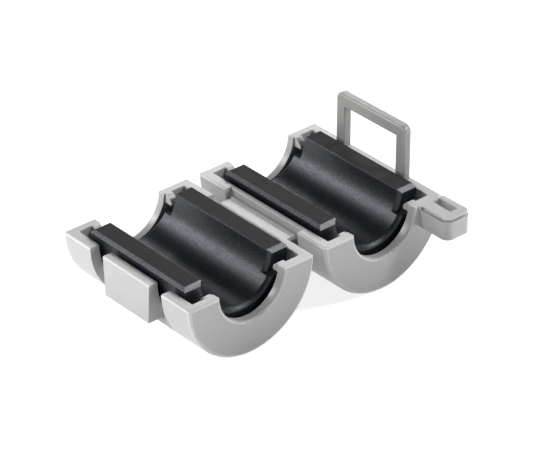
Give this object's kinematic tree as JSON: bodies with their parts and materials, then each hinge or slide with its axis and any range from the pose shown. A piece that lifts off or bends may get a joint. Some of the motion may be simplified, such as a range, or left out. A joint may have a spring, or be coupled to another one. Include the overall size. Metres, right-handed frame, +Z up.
{
  "type": "clip-on ferrite bead",
  "caption": "Noise filter that clips round a cable: a plastic case in halves on a folding strap, a ferrite half core in each shell, a latch frame that closes over a catch, and a tie ear.",
  "frame": {"origin": "bottom centre of the open part's box, on the table it lies on", "axes": "+X from the base shell across the strap to the lid shell and its latch frame, +Y along the cable, away from the tie ear, +Z up, out of the open shells"},
  "size_m": [0.0498, 0.0354, 0.0211],
  "materials": {
    "case": "satin moulded nylon, neutral light grey",
    "latch": "satin moulded nylon, a shade darker",
    "ferrite": "ground sintered ferrite, dull charcoal with a fine speckle"
  },
  "bodies": {
    "base": {"case_base": "case"},
    "strap": {"hinge_strap": "case"},
    "lid": {"case_lid": "case"},
    "latch": {"latch_frame": "latch"},
    "core_base": {"ferrite_core_base": "ferrite"},
    "core_lid": {"ferrite_core_lid": "ferrite"}
  },
  "joints": [
    {"name": "fold_base", "type": "hinge", "parent": "base", "child": "strap", "pos_m": [-0.00165, 0.00315, 0.01035], "axis": [0, -1, 0], "range_deg": [0, 90]},
    {"name": "fold_lid", "type": "hinge", "parent": "strap", "child": "lid", "pos_m": [0.00165, 0.00315, 0.01035], "axis": [0, -1, 0], "range_deg": [0, 90]},
    {"name": "core_base_press", "type": "slide", "parent": "base", "child": "core_base", "axis": [0, 0, -1], "range_m": [0, 0.00117], "stiffness_N_per_m": 1500},
    {"name": "core_lid_press", "type": "slide", "parent": "lid", "child": "core_lid", "axis": [0, 0, -1], "range_m": [0, 0.00117], "stiffness_N_per_m": 1500},
    {"name": "latch_flex", "type": "hinge", "parent": "lid", "child": "latch", "pos_m": [0.0246, 0.00315, 0.0119], "axis": [0, 1, 0], "range_deg": [0, 14], "stiffness_Nm_per_rad": 0.8}
  ]
}
